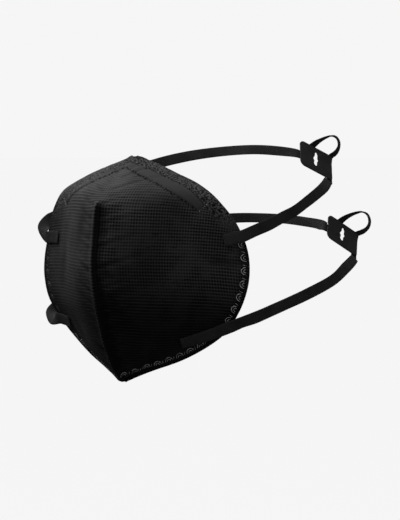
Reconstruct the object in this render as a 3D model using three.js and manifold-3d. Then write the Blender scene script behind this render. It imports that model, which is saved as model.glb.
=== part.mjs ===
// Fold-flat respirator mask, opened to its worn form: a hollow shell of layered non-woven cloth,
// two elastic head straps welded to its sides, and the adjuster that each strap is threaded through.
// Millimetres, +Z up. The nose points along -Y, and the wearer's left cheek is on the +X side.
// The origin lies in the middle of the face opening, level with the top of the nose.
import * as THREE from 'three';
import Module from 'manifold-3d';
import { mergeVertices } from 'three/addons/utils/BufferGeometryUtils.js';

const wasm = await Module();
wasm.setup();

// ---------- driving sizes ----------
const WALL = 1.6; // layered cloth of a side panel
const HEM = { wall: 1.0, width: 10 }; // the cloth thins towards the edge of the face opening
const NOSE_BAND = { rise: 0.7, blend: 2, end: 5.0, fade: 0.35 }; // over the wire, to a section number
const REACH = { fold: 0.28, edge: 0.3 }; // how far a panel keeps its angle, as a share of its width
const CREASE = { spread: 4, lining: 0.55 }; // centre fold: how wide it stands, and its share inside
// Steps along the fold, in sections, and their shares in the softer profile beside it.
const SOFT_PROFILE = [[-2, 0.125], [-1, 0.25], [0, 0.25], [1, 0.25], [2, 0.125]];
const SHORT_ROW = 34; // rows shorter than this shrink their relief and column spacing
const ROWS_PER_SECTION = 3;

const STRAP = { width: 8.6, thickness: 0.9, clearance: 0.45, step: 6 };
const PLATE = { length: 32, height: 25, thickness: 0.9, leftRound: 4.5, rightRound: 1.5 };
const KEEPER = { wall: 0.8, room: 0.35, inset: 3 }; // sleeves behind the plate that hold the band
// The toothed gap in the middle of the plate: its corners, along and up.
const SLIT = [
  [-0.9, 7.2], [0.9, 8.4], [2.0, 5.6], [1.7, 2.2], [2.5, 0.6], [1.3, -1.6], [1.0, -5.2],
  [-0.2, -6.4], [-1.1, -6.5], [-2.5, -4.9], [-1.9, -1.7], [-3.0, 0.1], [-1.4, 3.6],
];

// ---------- shell sections ----------
// One row for each cross section, from the top of the nose to the chin: the point on the centre fold,
// the point on the edge of the face opening, the angles that the panel leaves both at (from +Y towards
// the side), how far its middle is lifted, and how far the pinched centre fold stands proud.
const SECTION_COLUMNS = ['foldY', 'foldZ', 'edgeX', 'edgeY', 'edgeZ', 'foldAngle', 'edgeAngle', 'lift', 'crease'];
const SECTIONS = [
  [0.0, 79.0, 2.0, 1.6, 78.8, 90, 70, 0.0, 0.0],
  [-5.0, 74.5, 14.0, 6.8, 75.0, 90, 65, 1.0, 0.0],
  [-12.0, 69.2, 32.0, 7.6, 67.8, 90, 60, 2.5, 0.0],
  [-24.0, 62.0, 48.0, 8.0, 61.4, 88, 60, 3.5, 0.5],
  [-38.0, 54.0, 63.0, 6.6, 52.6, 84, 60, 4.0, 1.5],
  [-48.0, 48.0, 73.5, 9.9, 39.8, 84, 72, 4.0, 3.0],
  [-51.0, 36.0, 79.5, 13.3, 28.0, 86, 78, 3.0, 4.0],
  [-52.7, 23.0, 83.7, 15.6, 15.0, 86, 78, 2.0, 4.0],
  [-54.4, 8.0, 85.6, 15.0, 2.0, 86, 78, 1.0, 4.0],
  [-52.6, -7.0, 84.7, 13.5, -11.3, 86, 78, 0.0, 4.0],
  [-48.6, -22.0, 79.6, 12.0, -26.6, 86, 74, -1.0, 4.0],
  [-44.6, -33.0, 69.2, 12.7, -41.6, 82, 68, -2.0, 4.0],
  [-39.5, -46.0, 56.0, 9.6, -52.6, 80, 60, -2.5, 4.0],
  [-32.2, -59.0, 39.0, 2.9, -62.7, 80, 62, -2.0, 3.5],
  [-24.3, -70.5, 20.0, -6.2, -70.5, 80, 66, -1.0, 2.5],
  [-14.8, -78.7, 2.0, -13.9, -78.2, 80, 75, 0.0, 0.0],
];

// Where the raised band over the nose wire lies: the distances of its outer and inner side from the
// edge of the face opening, along each of the first sections.
const NOSE_BAND_ROWS = [
  [10.0, 17.0],
  [17.5, 26.0],
  [23.0, 33.5],
  [22.0, 36.5],
  [16.0, 33.0],
  [15.5, 25.5],
  [15.0, 24.0],
];

// Soft dents in the cloth: where each starts and ends (section number, share of the way from the
// fold to the edge), its half width and depth in mm, and the side it lies on (1 left, -1 right).
const DENT_COLUMNS = ['fromS', 'fromU', 'toS', 'toU', 'width', 'depth', 'side'];
const DENTS = [
  [4.9, 0.04, 7.2, 0.05, 3.5, 1.4, 1],
  [8.2, 0.04, 8.6, 0.1, 3, 0.8, 1],
  [9.6, 0.06, 10.4, 0.14, 4, 1.2, 1],
  [7.75, 0.76, 7.75, 0.92, 2.5, 0.8, 1],
  [12.3, 0.45, 14.2, 0.75, 3, 1.2, 1],
  [11.2, 0.78, 14.0, 0.9, 3, 1.0, -1],
];

// ---------- strap routes ----------
// Where each strap end is welded to the outside of a panel, from its free tip to the edge of the
// shell: section number and distance from the edge in mm at the tip, section number at the edge.
const WELDS = {
  upper: { left: { tipS: 6.65, tipFromEdge: 15.5, edgeS: 6.2 }, right: { tipS: 6.95, tipFromEdge: 19, edgeS: 6.8 } },
  lower: { left: { tipS: 11.75, tipFromEdge: 23.5, edgeS: 10.7 }, right: { tipS: 11.0, tipFromEdge: 18, edgeS: 10.9 } },
};

// Free stretches of the straps, between the shell's edge and the adjuster. Columns: x, y, z of the
// middle of the band, then the direction across the band.
const UPPER_LEFT_RUN = [
  [88.0, 20.5, 29.5, 0, -0.15, 1],
  [93.5, 29.0, 33.0, 0, 0, 1],
  [96.0, 42.0, 36.8, 0, 0, 1],
  [95.5, 60.0, 39.9, 0, 0, 1],
  [91.3, 88.0, 45.3, -0.1, -0.1, 1],
  [76.3, 132.0, 48.4, -0.3, -0.2, 0.9],
  [52.3, 187.0, 49.1, -0.5, -0.3, 0.8],
  [28.3, 237.0, 49.3, -0.45, -0.4, 0.65],
];
const UPPER_RIGHT_RUN = [
  [-13.0, 232.5, 71.6, -0.3, 0.5, 0.82],
  [-30.0, 224.0, 72.6, -0.3, 0.5, 0.82],
  [-50.0, 207.0, 71.3, -0.3, 0.5, 0.82],
  [-68.0, 182.0, 67.9, -0.3, 0.4, 0.86],
  [-82.0, 150.0, 61.5, -0.2, 0.2, 0.9],
  [-91.0, 115.0, 51.0, -0.1, 0.1, 1],
  [-94.0, 80.0, 41.5, 0, 0, 1],
  [-93.0, 55.0, 35.0, 0, 0, 1],
  [-91.5, 38.0, 30.6, -0.2, 0, 0.95],
  [-90.5, 28.0, 28.5, -0.6, -0.3, 0.75],
  [-90.7, 21.5, 24.3, -0.86, -0.5, 0.1],
  [-87.3, 18.0, 20.5, -0.6, -0.3, -0.8],
];
const LOWER_LEFT_RUN = [
  [79.4, 14.4, -34.9, 0.06, -0.36, 0.95],
  [85.8, 23.6, -31.8, 0, 0, 1],
  [89.5, 42.0, -28.0, 0, 0, 1],
  [91.6, 62.0, -24.6, 0, 0, 1],
  [92.0, 85.0, -21.4, -0.1, 0, 1],
  [83.7, 140.0, -16.6, -0.3, -0.1, 0.9],
  [66.9, 193.0, -12.7, -0.5, -0.3, 0.8],
  [43.3, 252.0, -11.7, -0.45, -0.4, 0.65],
];
const LOWER_RIGHT_RUN = [
  [-7.0, 288.0, 10.6, -0.3, 0.5, 0.82],
  [-19.0, 286.0, 12.3, -0.3, 0.5, 0.82],
  [-34.0, 281.0, 14.1, -0.3, 0.5, 0.82],
  [-49.0, 268.0, 15.4, -0.3, 0.5, 0.82],
  [-62.0, 248.0, 16.1, -0.3, 0.45, 0.84],
  [-74.0, 215.0, 15.0, -0.3, 0.4, 0.86],
  [-82.0, 180.0, 12.0, -0.2, 0.2, 0.9],
  [-87.0, 140.0, 4.0, -0.1, 0.1, 1],
  [-89.0, 100.0, -11.5, 0, 0, 1],
  [-88.5, 65.0, -26.0, 0, 0, 1],
  [-87.5, 42.0, -33.0, -0.2, 0, 0.95],
  [-86.0, 28.0, -36.2, -0.6, -0.3, 0.75],
  [-83.0, 20.0, -38.4, -0.86, -0.5, 0.1],
  [-77.6, 14.5, -42.0, -0.5, -0.3, -0.8],
];

// Each adjuster's centre, how steeply its long side drops, and how much larger its free loop stands.
const ADJUSTERS = {
  upper: { centre: [8.0, 253.8, 63.9], along: [0.45, 0.779, -0.436], slack: 1 },
  lower: { centre: [7.1, 300.4, 1.4], along: [0.448, 0.72, -0.53], slack: 1.14 },
};
const ADJUSTER_UP = [-0.364, 0.606, 0.707];
const LOOP_CLEAR = 6; // height above the plate from which the slack counts in full

// The band's route through an adjuster, in the plate's own frame (along, up, out of its face): in at
// the lower right corner, up inside the right margin, round the free loop, in at the top and out on
// the left. The last three columns are the direction across the band, as long as the share of the
// band's width that fits there.
const THREADING = [
  [14.2, -13.5, -0.8, -0.63, 0, 0],
  [14.4, -6, -0.8, -0.6, 0, 0],
  [14.8, 4, -0.8, -0.55, 0, 0],
  [15.9, 11, -0.8, -0.5, 0, 0],
  [16.6, 13.6, -0.8, -0.5, 0.1, 0],
  [17.1, 14.2, 3.0, -0.78, -0.36, 0.38],
  [16.6, 15.4, 7.8, -0.71, -0.61, 0.35],
  [14.9, 17.2, 11.6, -0.54, -0.78, 0.31],
  [11.9, 18.7, 13.6, -0.37, -0.87, 0.33],
  [8.4, 19.2, 14.2, -0.36, -0.78, 0.5],
  [5.2, 19.0, 13.2, -0.52, -0.63, 0.57],
  [2.4, 17.9, 10.4, -0.6, -0.55, 0.55],
  [0.2, 16.6, 7.0, -0.68, -0.45, 0.5],
  [-1.6, 15.2, 3.2, -0.7, -0.2, 0.3],
  [-2.6, 13.6, -0.5, -0.65, 0.1, 0.1],
  [-4.0, 10.5, -0.8, -0.8, 0.2, 0],
  [-7.0, 5, -0.8, -0.6, 0.5, 0],
  [-9.5, 0.5, -0.8, -0.4, 0.7, 0],
  [-13.0, -1.6, -0.8, -0.1, 0.9, 0],
  [-17.5, -2.0, -0.8, 0, 1, 0],
];

// ---------- small helpers ----------
const vec = (x, y, z) => new THREE.Vector3(x, y, z);
const clamp01 = (x) => Math.min(1, Math.max(0, x));
const mix = (a, b, t) => a + (b - a) * t;

function smoothStep(from, to, x) {
  const t = clamp01((x - from) / (to - from));
  return t * t * (3 - 2 * t);
}

// A smooth table look-up: Catmull-Rom through evenly numbered rows.
function lookUp(rows, position) {
  const last = rows.length - 1;
  const i = Math.min(last - 1, Math.max(0, Math.floor(position)));
  const t = position - i;
  const before = rows[Math.max(0, i - 1)];
  const after = rows[Math.min(last, i + 2)];
  return rows[i].map((b, k) => {
    const c = rows[i + 1][k];
    const slopeIn = (c - before[k]) / 2;
    const slopeOut = (after[k] - b) / 2;
    return hermite(b, c, slopeIn, slopeOut, t);
  });
}

function hermite(a, b, slopeA, slopeB, t) {
  const t2 = t * t;
  const t3 = t2 * t;
  return a * (2 * t3 - 3 * t2 + 1) + slopeA * (t3 - 2 * t2 + t) + b * (3 * t2 - 2 * t3) + slopeB * (t3 - t2);
}

// A closed grid of quads as triangles: both faces of a sheet and the rim that joins them.
function sheetGeometry(outside, inside) {
  const rows = outside.length;
  const columns = outside[0].length;
  const position = [...outside.flat(), ...inside.flat()].flatMap((p) => p.toArray());
  const outer = (i, j) => i * columns + j;
  const inner = (i, j) => rows * columns + outer(i, j);
  const index = [];
  const quad = (a, b, c, d) => index.push(a, c, b, a, d, c);
  for (let i = 0; i + 1 < rows; i += 1) {
    for (let j = 0; j + 1 < columns; j += 1) {
      quad(outer(i, j), outer(i + 1, j), outer(i + 1, j + 1), outer(i, j + 1));
      quad(inner(i, j), inner(i, j + 1), inner(i + 1, j + 1), inner(i + 1, j));
    }
    quad(outer(i, 0), inner(i, 0), inner(i + 1, 0), outer(i + 1, 0));
    quad(outer(i, columns - 1), outer(i + 1, columns - 1), inner(i + 1, columns - 1), inner(i, columns - 1));
  }
  for (let j = 0; j + 1 < columns; j += 1) {
    quad(outer(0, j), outer(0, j + 1), inner(0, j + 1), inner(0, j));
    quad(outer(rows - 1, j), inner(rows - 1, j), inner(rows - 1, j + 1), outer(rows - 1, j + 1));
  }
  const geometry = new THREE.BufferGeometry();
  geometry.setAttribute('position', new THREE.Float32BufferAttribute(position, 3));
  geometry.setIndex(index);
  return geometry;
}

// ---------- the shell's surface ----------
const LAST_SECTION = SECTIONS.length - 1;
const CROSS_STEPS = 24;

function sectionAt(s) {
  const values = lookUp(SECTIONS, s);
  return Object.fromEntries(SECTION_COLUMNS.map((name, k) => [name, values[k]]));
}

// Only the fold itself has the corner of the nose tip. Beside it the cloth follows a softer profile,
// the mean of the fold around it. This is the way from the fold's point to that mean.
function softening(s, row) {
  const reach = Math.min(1, s / 2, (LAST_SECTION - s) / 2);
  const way = vec(0, 0, 0);
  for (const [step, share] of SOFT_PROFILE) {
    const other = sectionAt(s + step * reach);
    way.add(vec(0, other.foldY - row.foldY, other.foldZ - row.foldZ).multiplyScalar(share));
  }
  return way;
}

// One side of a cross section as a cubic Bezier from fold to edge, with its length measured.
function crossCurve(s) {
  const row = sectionAt(s);
  const ahead = sectionAt(Math.min(LAST_SECTION, s + 0.05));
  const behind = sectionAt(Math.max(0, s - 0.05));
  const outward = vec(0, ahead.foldZ - behind.foldZ, behind.foldY - ahead.foldY).normalize();
  const fold = vec(0, row.foldY, row.foldZ).addScaledVector(outward, -row.crease);
  const edge = vec(row.edgeX, row.edgeY, row.edgeZ);
  const chord = fold.distanceTo(edge);
  const lift = vec(0, 0, row.lift * 4 / 3);
  const aim = (degrees, reach) => {
    const angle = THREE.MathUtils.degToRad(degrees);
    return vec(Math.sin(angle), Math.cos(angle), 0).multiplyScalar(reach * chord);
  };
  const rise = (edge.z - fold.z) / 3;
  const nearFold = fold.clone().add(aim(row.foldAngle, REACH.fold)).add(lift).add(softening(s, row));
  const nearEdge = edge.clone().sub(aim(row.edgeAngle, REACH.edge)).add(lift);
  nearFold.z += rise;
  nearEdge.z -= rise;
  const curve = new THREE.CubicBezierCurve3(fold, nearFold, nearEdge, edge);
  const points = curve.getPoints(CROSS_STEPS);
  const lengths = [0];
  points.slice(1).forEach((p, k) => lengths.push(lengths[k] + p.distanceTo(points[k])));
  return { row, outward, curve, lengths, length: lengths[CROSS_STEPS] };
}

// The bare surface, without relief: section number and distance from the edge, on the left side.
function panelPoint(cross, fromEdge) {
  const along = clamp01(1 - fromEdge / cross.length) * cross.length;
  let k = 0;
  while (k < CROSS_STEPS - 1 && cross.lengths[k + 1] < along) k += 1;
  const share = (along - cross.lengths[k]) / (cross.lengths[k + 1] - cross.lengths[k]);
  return cross.curve.getPoint((k + share) / CROSS_STEPS);
}

function panelNormal(s, fromEdge) {
  const cross = crossCurve(s);
  const up = crossCurve(Math.max(0, s - 0.08));
  const down = crossCurve(Math.min(LAST_SECTION, s + 0.08));
  const share = fromEdge / cross.length;
  const downSurface = panelPoint(down, share * down.length).sub(panelPoint(up, share * up.length));
  const toEdge = panelPoint(cross, Math.max(0, fromEdge - 1)).sub(panelPoint(cross, fromEdge + 1));
  return downSurface.cross(toEdge).normalize();
}

function noseBandAt(s) {
  const [outer, inner] = lookUp(NOSE_BAND_ROWS, Math.min(s, NOSE_BAND_ROWS.length - 1));
  return { outer, inner };
}

const rowScale = (length) => Math.min(1, length / SHORT_ROW);

// How far the cloth stands above its thin edge: full panel, nose band and soft dents.
function reliefAt(s, fromEdge, length, side) {
  const panel = (WALL - HEM.wall) * smoothStep(0, HEM.width, fromEdge);
  const { outer, inner } = noseBandAt(s);
  const across = smoothStep(outer, outer + NOSE_BAND.blend, fromEdge)
    * (1 - smoothStep(inner - NOSE_BAND.blend, inner, fromEdge));
  const along = 1 - smoothStep(NOSE_BAND.end, NOSE_BAND.end + NOSE_BAND.fade, s);
  let height = rowScale(length) * (panel + NOSE_BAND.rise * across * along);
  const u = 1 - fromEdge / length;
  for (const values of DENTS) {
    const dent = Object.fromEntries(DENT_COLUMNS.map((name, k) => [name, values[k]]));
    if (dent.side !== side) continue;
    const sectionPitch = 11;
    const a = [(s - dent.fromS) * sectionPitch, (u - dent.fromU) * length];
    const b = [(dent.toS - dent.fromS) * sectionPitch, (dent.toU - dent.fromU) * length];
    const t = clamp01((a[0] * b[0] + a[1] * b[1]) / (b[0] ** 2 + b[1] ** 2));
    const away = Math.hypot(a[0] - t * b[0], a[1] - t * b[1]) / dent.width;
    height -= dent.depth * Math.exp(-away * away) * Math.sin(Math.PI * mix(0.15, 0.85, t));
  }
  return height;
}

// A point of the shell, outside or inside, on the side that the sign names.
function shellPoint(s, fromEdge, side, inside) {
  const cross = crossCurve(s);
  const point = panelPoint(cross, fromEdge);
  const normal = panelNormal(s, fromEdge);
  const stand = cross.row.crease * Math.exp(-(cross.length - fromEdge) / CREASE.spread);
  point.addScaledVector(cross.outward, stand * (inside ? CREASE.lining : 1));
  point.addScaledVector(normal, inside ? -HEM.wall : reliefAt(s, fromEdge, cross.length, side));
  point.x *= side;
  normal.x *= side;
  return { point, normal };
}

// Distances from the edge of the columns on one side, closer together at the edge, band and fold.
function columnStops(s, length) {
  const { outer, inner } = noseBandAt(s);
  const scale = rowScale(length);
  const fit = Math.min(scale, 0.9 * (length - 10 * scale) / inner);
  const stops = [
    0, 2.5, 6, HEM.width, outer, outer + NOSE_BAND.blend, inner - NOSE_BAND.blend, inner,
  ].map((d) => d * fit);
  const nearFold = [10, 6, 3.2, 1.4, 0].map((d) => length - d * scale);
  const panels = 7;
  const last = stops[stops.length - 1];
  for (let k = 1; k < panels; k += 1) stops.push(mix(last, nearFold[0], k / panels));
  return [...stops, ...nearFold];
}

function shellGeometry() {
  const outside = [];
  const inside = [];
  for (let i = 0; i <= LAST_SECTION * ROWS_PER_SECTION; i += 1) {
    const s = i / ROWS_PER_SECTION;
    const stops = columnStops(s, crossCurve(s).length);
    const walk = [
      ...stops.map((d) => [d, 1]),
      ...stops.slice(0, -1).reverse().map((d) => [d, -1]),
    ];
    outside.push(walk.map(([d, side]) => shellPoint(s, d, side, false).point));
    inside.push(walk.map(([d, side]) => shellPoint(s, d, side, true).point));
  }
  return sheetGeometry(outside, inside);
}

// ---------- straps ----------
// The welded end of a strap, tip first, lying on the outside of the shell.
function weldRows(weld, side) {
  const lie = WALL - HEM.wall + STRAP.clearance + STRAP.thickness / 2;
  const stations = [0, 0.34, 0.67, 1].map((t) => {
    const s = mix(weld.tipS, weld.edgeS, t);
    const fromEdge = weld.tipFromEdge * (1 - t);
    const normal = panelNormal(s, fromEdge);
    const middle = panelPoint(crossCurve(s), fromEdge).addScaledVector(normal, lie);
    middle.x *= side;
    normal.x *= side;
    return { middle, normal };
  });
  return stations.map(({ middle, normal }, i) => {
    const ahead = stations[Math.min(3, i + 1)].middle;
    const behind = stations[Math.max(0, i - 1)].middle;
    const across = normal.clone().cross(ahead.clone().sub(behind)).normalize();
    if (across.z * side < 0) across.negate();
    return [...middle.toArray(), ...across.toArray()];
  });
}

function adjusterMatrix({ centre, along }) {
  const p = vec(...along).normalize();
  const up = vec(...ADJUSTER_UP);
  const q = up.addScaledVector(p, -up.dot(p)).normalize();
  return new THREE.Matrix4().makeBasis(p, q, p.clone().cross(q)).setPosition(...centre);
}

function threadingRows(matrix, slack) {
  const top = PLATE.height / 2;
  return THREADING.map(([p, q, out, ...across]) => {
    const size = mix(1, slack, clamp01(out / LOOP_CLEAR));
    const middle = vec(p * size, top + (q - top) * size, out * size).applyMatrix4(matrix);
    const direction = vec(...across).transformDirection(matrix).multiplyScalar(Math.hypot(...across));
    return [...middle.toArray(), ...direction.toArray()];
  });
}

// A smooth route through table rows whose spacing varies: stations with middle, along and across.
function routeStations(rows) {
  const middles = rows.map((row) => vec(...row.slice(0, 3)));
  const knots = [0];
  middles.slice(1).forEach((p, i) => knots.push(knots[i] + Math.sqrt(p.distanceTo(middles[i]))));
  const slope = (k, i) => {
    if (i === 0) return (rows[1][k] - rows[0][k]) / (knots[1] - knots[0]);
    const last = rows.length - 1;
    if (i === last) return (rows[last][k] - rows[last - 1][k]) / (knots[last] - knots[last - 1]);
    const before = knots[i] - knots[i - 1];
    const after = knots[i + 1] - knots[i];
    return (rows[i][k] - rows[i - 1][k]) / before - (rows[i + 1][k] - rows[i - 1][k]) / (before + after)
      + (rows[i + 1][k] - rows[i][k]) / after;
  };
  const samples = [];
  for (let i = 0; i + 1 < rows.length; i += 1) {
    const span = knots[i + 1] - knots[i];
    const steps = Math.max(1, Math.round(middles[i].distanceTo(middles[i + 1]) / STRAP.step));
    const isLast = i + 2 === rows.length;
    for (let step = 0; step < steps + (isLast ? 1 : 0); step += 1) {
      const t = step / steps;
      samples.push(rows[i].map((a, k) => (
        hermite(a, rows[i + 1][k], slope(k, i) * span, slope(k, i + 1) * span, t))));
    }
  }
  return samples.map((sample, i) => {
    const middle = vec(...sample.slice(0, 3));
    const ahead = vec(...samples[Math.min(samples.length - 1, i + 1)].slice(0, 3));
    const behind = vec(...samples[Math.max(0, i - 1)].slice(0, 3));
    const along = ahead.sub(behind).normalize();
    const across = vec(...sample.slice(3));
    const share = Math.min(1, across.length());
    across.addScaledVector(along, -across.dot(along)).setLength(share);
    return { middle, along, across };
  });
}

// A flat band along a route: a rectangle at each station, joined and closed at both ends.
function bandGeometry(stations, halfWidth, halfThickness) {
  const position = [];
  const index = [];
  for (const { middle, along, across } of stations) {
    const face = along.clone().cross(across).normalize().multiplyScalar(halfThickness);
    const edge = across.clone().multiplyScalar(halfWidth);
    for (const [a, b] of [[1, 1], [-1, 1], [-1, -1], [1, -1]]) {
      const corner = middle.clone().addScaledVector(edge, a).addScaledVector(face, b);
      position.push(...corner.toArray());
    }
  }
  const last = (stations.length - 1) * 4;
  for (let i = 0; i < last; i += 4) {
    for (let k = 0; k < 4; k += 1) {
      const next = (k + 1) % 4;
      index.push(i + k, i + next, i + 4 + next, i + k, i + 4 + next, i + 4 + k);
    }
  }
  index.push(0, 2, 1, 0, 3, 2, last, last + 1, last + 2, last, last + 2, last + 3);
  const geometry = new THREE.BufferGeometry();
  geometry.setAttribute('position', new THREE.Float32BufferAttribute(position, 3));
  geometry.setIndex(index);
  return geometry;
}

// ---------- solids for cutting ----------
function solidFrom(geometry) {
  const bare = geometry.index ? geometry.clone() : geometry;
  bare.deleteAttribute('normal');
  bare.deleteAttribute('uv');
  const merged = mergeVertices(bare, 1e-4);
  const mesh = new wasm.Mesh({
    numProp: 3,
    vertProperties: merged.attributes.position.array,
    triVerts: new Uint32Array(merged.index.array),
  });
  return new wasm.Manifold(mesh);
}

function geometryFrom(solid) {
  const mesh = solid.getMesh();
  const geometry = new THREE.BufferGeometry();
  geometry.setAttribute('position', new THREE.Float32BufferAttribute(mesh.vertProperties, 3));
  geometry.setIndex([...mesh.triVerts]);
  return geometry;
}

// ---------- adjuster ----------
function plateOutline(grow) {
  const { length, height, leftRound: r, rightRound: t } = PLATE;
  const [x, y] = [length / 2 + grow, height / 2 + grow];
  return new THREE.Shape()
    .moveTo(-x + r, -y)
    .lineTo(x - t, -y)
    .absarc(x - t, -y + t, t, -Math.PI / 2, 0)
    .absarc(x - t, y - t, t, 0, Math.PI / 2)
    .absarc(-x + r, y - r, r, Math.PI / 2, Math.PI)
    .absarc(-x + r, -y + r, r, Math.PI, Math.PI * 1.5);
}

function slitOutline() {
  return new THREE.Shape(SLIT.map(([a, b]) => new THREE.Vector2(a, b)));
}

function extruded(shape, from, to) {
  const settings = { depth: to - from, bevelEnabled: false, curveSegments: 5 };
  return solidFrom(new THREE.ExtrudeGeometry(shape, settings).translate(0, 0, from));
}

function adjusterGeometry(stations, matrix) {
  const toPlate = matrix.clone().invert();
  const near = stations
    .map(({ middle, along, across }) => ({
      middle: middle.clone().applyMatrix4(toPlate),
      along: along.clone().transformDirection(toPlate),
      across: across.clone().transformDirection(toPlate).multiplyScalar(across.length()),
    }))
    .filter(({ middle }) => middle.length() < PLATE.length);
  const channel = (extra) => solidFrom(bandGeometry(
    near, STRAP.width / 2 + extra, STRAP.thickness / 2 + extra));
  const behind = STRAP.thickness + 2 * KEEPER.room + KEEPER.wall;
  const backing = extruded(plateOutline(-KEEPER.inset), -behind, PLATE.thickness / 2);
  return geometryFrom(extruded(plateOutline(0), 0, PLATE.thickness)
    .subtract(extruded(slitOutline(), -1, PLATE.thickness + 1))
    .add(channel(KEEPER.room + KEEPER.wall).intersect(backing))
    .subtract(channel(KEEPER.room)));
}

// ---------- the assembly ----------
const CLOTH = new THREE.MeshStandardMaterial({ color: 0x1d1d1e, roughness: 0.95, metalness: 0 });
const ELASTIC = new THREE.MeshStandardMaterial({ color: 0x171717, roughness: 0.85, metalness: 0 });
const PLASTIC = new THREE.MeshStandardMaterial({ color: 0x242424, roughness: 0.5, metalness: 0 });

const mask = new THREE.Group();

function addMesh(name, geometry, material) {
  const mesh = new THREE.Mesh(geometry, material);
  mesh.name = name;
  mask.add(mesh);
  return mesh;
}

addMesh('mask_shell', shellGeometry(), CLOTH);

const RUNS = {
  upper: { left: UPPER_LEFT_RUN, right: UPPER_RIGHT_RUN },
  lower: { left: LOWER_LEFT_RUN, right: LOWER_RIGHT_RUN },
};
for (const level of ['upper', 'lower']) {
  const matrix = adjusterMatrix(ADJUSTERS[level]);
  const stations = routeStations([
    ...weldRows(WELDS[level].left, 1),
    ...RUNS[level].left,
    ...threadingRows(matrix, ADJUSTERS[level].slack),
    ...RUNS[level].right,
    ...weldRows(WELDS[level].right, -1).reverse(),
  ]);
  const band = bandGeometry(stations, STRAP.width / 2, STRAP.thickness / 2);
  addMesh(`${level}_head_strap`, band, ELASTIC);
  addMesh(`${level}_adjuster`, adjusterGeometry(stations, matrix), PLASTIC).applyMatrix4(matrix);
}

export default mask;
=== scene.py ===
# %% [markdown]
# # A fold-flat respirator mask
#
# This mask is stored flat and pulled open to be worn. Its body is two panels of layered non-woven
# cloth, joined by a fold that runs from the nose to the chin. Two flat elastics are welded to the
# sides, and each is threaded through a small plastic adjuster at the back of the head.
#
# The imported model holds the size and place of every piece. It is loaded first and never moved. The
# pieces made below are finer versions of the same forms, so they repeat the same tables.

# %% Load the fixed frame
import math

import bmesh
import bpy
import numpy as np
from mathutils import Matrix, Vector
from mathutils.bvhtree import BVHTree


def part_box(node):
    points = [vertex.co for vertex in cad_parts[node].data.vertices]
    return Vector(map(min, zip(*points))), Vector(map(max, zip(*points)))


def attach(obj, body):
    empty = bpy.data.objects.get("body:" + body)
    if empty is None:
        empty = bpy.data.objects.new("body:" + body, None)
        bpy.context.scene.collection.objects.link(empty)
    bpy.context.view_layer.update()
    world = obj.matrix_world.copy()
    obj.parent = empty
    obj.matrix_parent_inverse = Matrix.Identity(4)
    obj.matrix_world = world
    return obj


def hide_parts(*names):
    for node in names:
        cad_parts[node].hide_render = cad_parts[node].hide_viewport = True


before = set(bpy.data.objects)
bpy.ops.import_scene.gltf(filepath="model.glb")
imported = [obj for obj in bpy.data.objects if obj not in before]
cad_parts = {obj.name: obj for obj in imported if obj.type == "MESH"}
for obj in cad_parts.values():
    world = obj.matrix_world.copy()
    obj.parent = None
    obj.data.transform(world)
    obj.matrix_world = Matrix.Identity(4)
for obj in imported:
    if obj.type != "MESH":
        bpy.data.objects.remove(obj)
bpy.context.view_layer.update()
MM = 0.001
BODY = "root"
shell_low, shell_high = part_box("mask_shell")
print("nodes:", sorted(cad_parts))
print("shell box in mm:", [round(v / MM) for v in shell_low], [round(v / MM) for v in shell_high])

# %% [markdown]
# ## Camera, light and background
#
# The mask hangs in the air as if a head wore it, in front of a plain pale background. A long lens
# from the wearer's left keeps the lines nearly parallel. Two of the five soft lights stand high on
# the far side, so the far panel and the top are bright and the near panel stays dimmer, which shows
# the fold. The other three stand low. A light's name says on which side the camera sees it.

# %% Place the camera
CAMERA_PLACE = (0.9667, -1.5175, 0.1792)
CAMERA_TILT = math.radians(84.5)
CAMERA_TURN = math.radians(31)
CAMERA_LENS = 178.02
CAMERA_SENSOR = 36
CAMERA_REACH = 30


def add_object(name, data):
    """An object in the scene for a mesh, a light or a camera."""
    made = bpy.data.objects.new(name, data)
    bpy.context.collection.objects.link(made)
    return made


camera_data = bpy.data.cameras.new("camera")
camera_data.lens = CAMERA_LENS
camera_data.sensor_width = CAMERA_SENSOR
camera_data.clip_end = CAMERA_REACH
camera = add_object("camera", camera_data)
camera.location = CAMERA_PLACE
camera.rotation_euler = (CAMERA_TILT, 0, CAMERA_TURN)
bpy.context.scene.camera = camera
bpy.context.scene.view_settings.view_transform = "Standard"
print("camera at", CAMERA_PLACE)

# %% Add the lights
MASK_MIDDLE = Vector((0, 0.02, 0))
# name, direction from the mask, distance, width of the square and power
LIGHTS = [
    ("key_light", (-0.35, -0.5, 1.1), 0.75, 0.5, 4.4),
    ("left_top_light", (-0.9, 0.3, 0.9), 1.0, 0.6, 4.6),
    ("left_light", (-1.0, -0.6, 0.3), 1.2, 0.6, 1.0),
    ("right_light", (1.0, 0.3, 0.2), 1.5, 1.0, 2.8),
    ("front_fill", (0.6, -0.9, 0.1), 2.0, 1.6, 7.5),
]

for name, direction, distance, size, power in LIGHTS:
    data = bpy.data.lights.new(name, "AREA")
    data.shape, data.size, data.energy = "SQUARE", size, power
    light = add_object(name, data)
    light.location = MASK_MIDDLE + Vector(direction).normalized() * distance
    light.rotation_euler = (light.location - MASK_MIDDLE).to_track_quat("Z", "Y").to_euler()
    print("light", name, "at", [round(v, 2) for v in light.location])

# %% [markdown]
# The world is white where the camera sees it and dim where it lights the mask, because a bright sky
# would wash out black cloth. The floor is a wide pale disc below the mask that glows by itself, so
# that it keeps the colour of the background.

# %% Background and floor
BACKGROUND = 0.92
SKY_LIGHT = 0.08
FLOOR_DROP = 0.35
FLOOR_RADIUS = 9.0
FLOOR_SIDES = 96

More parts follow.
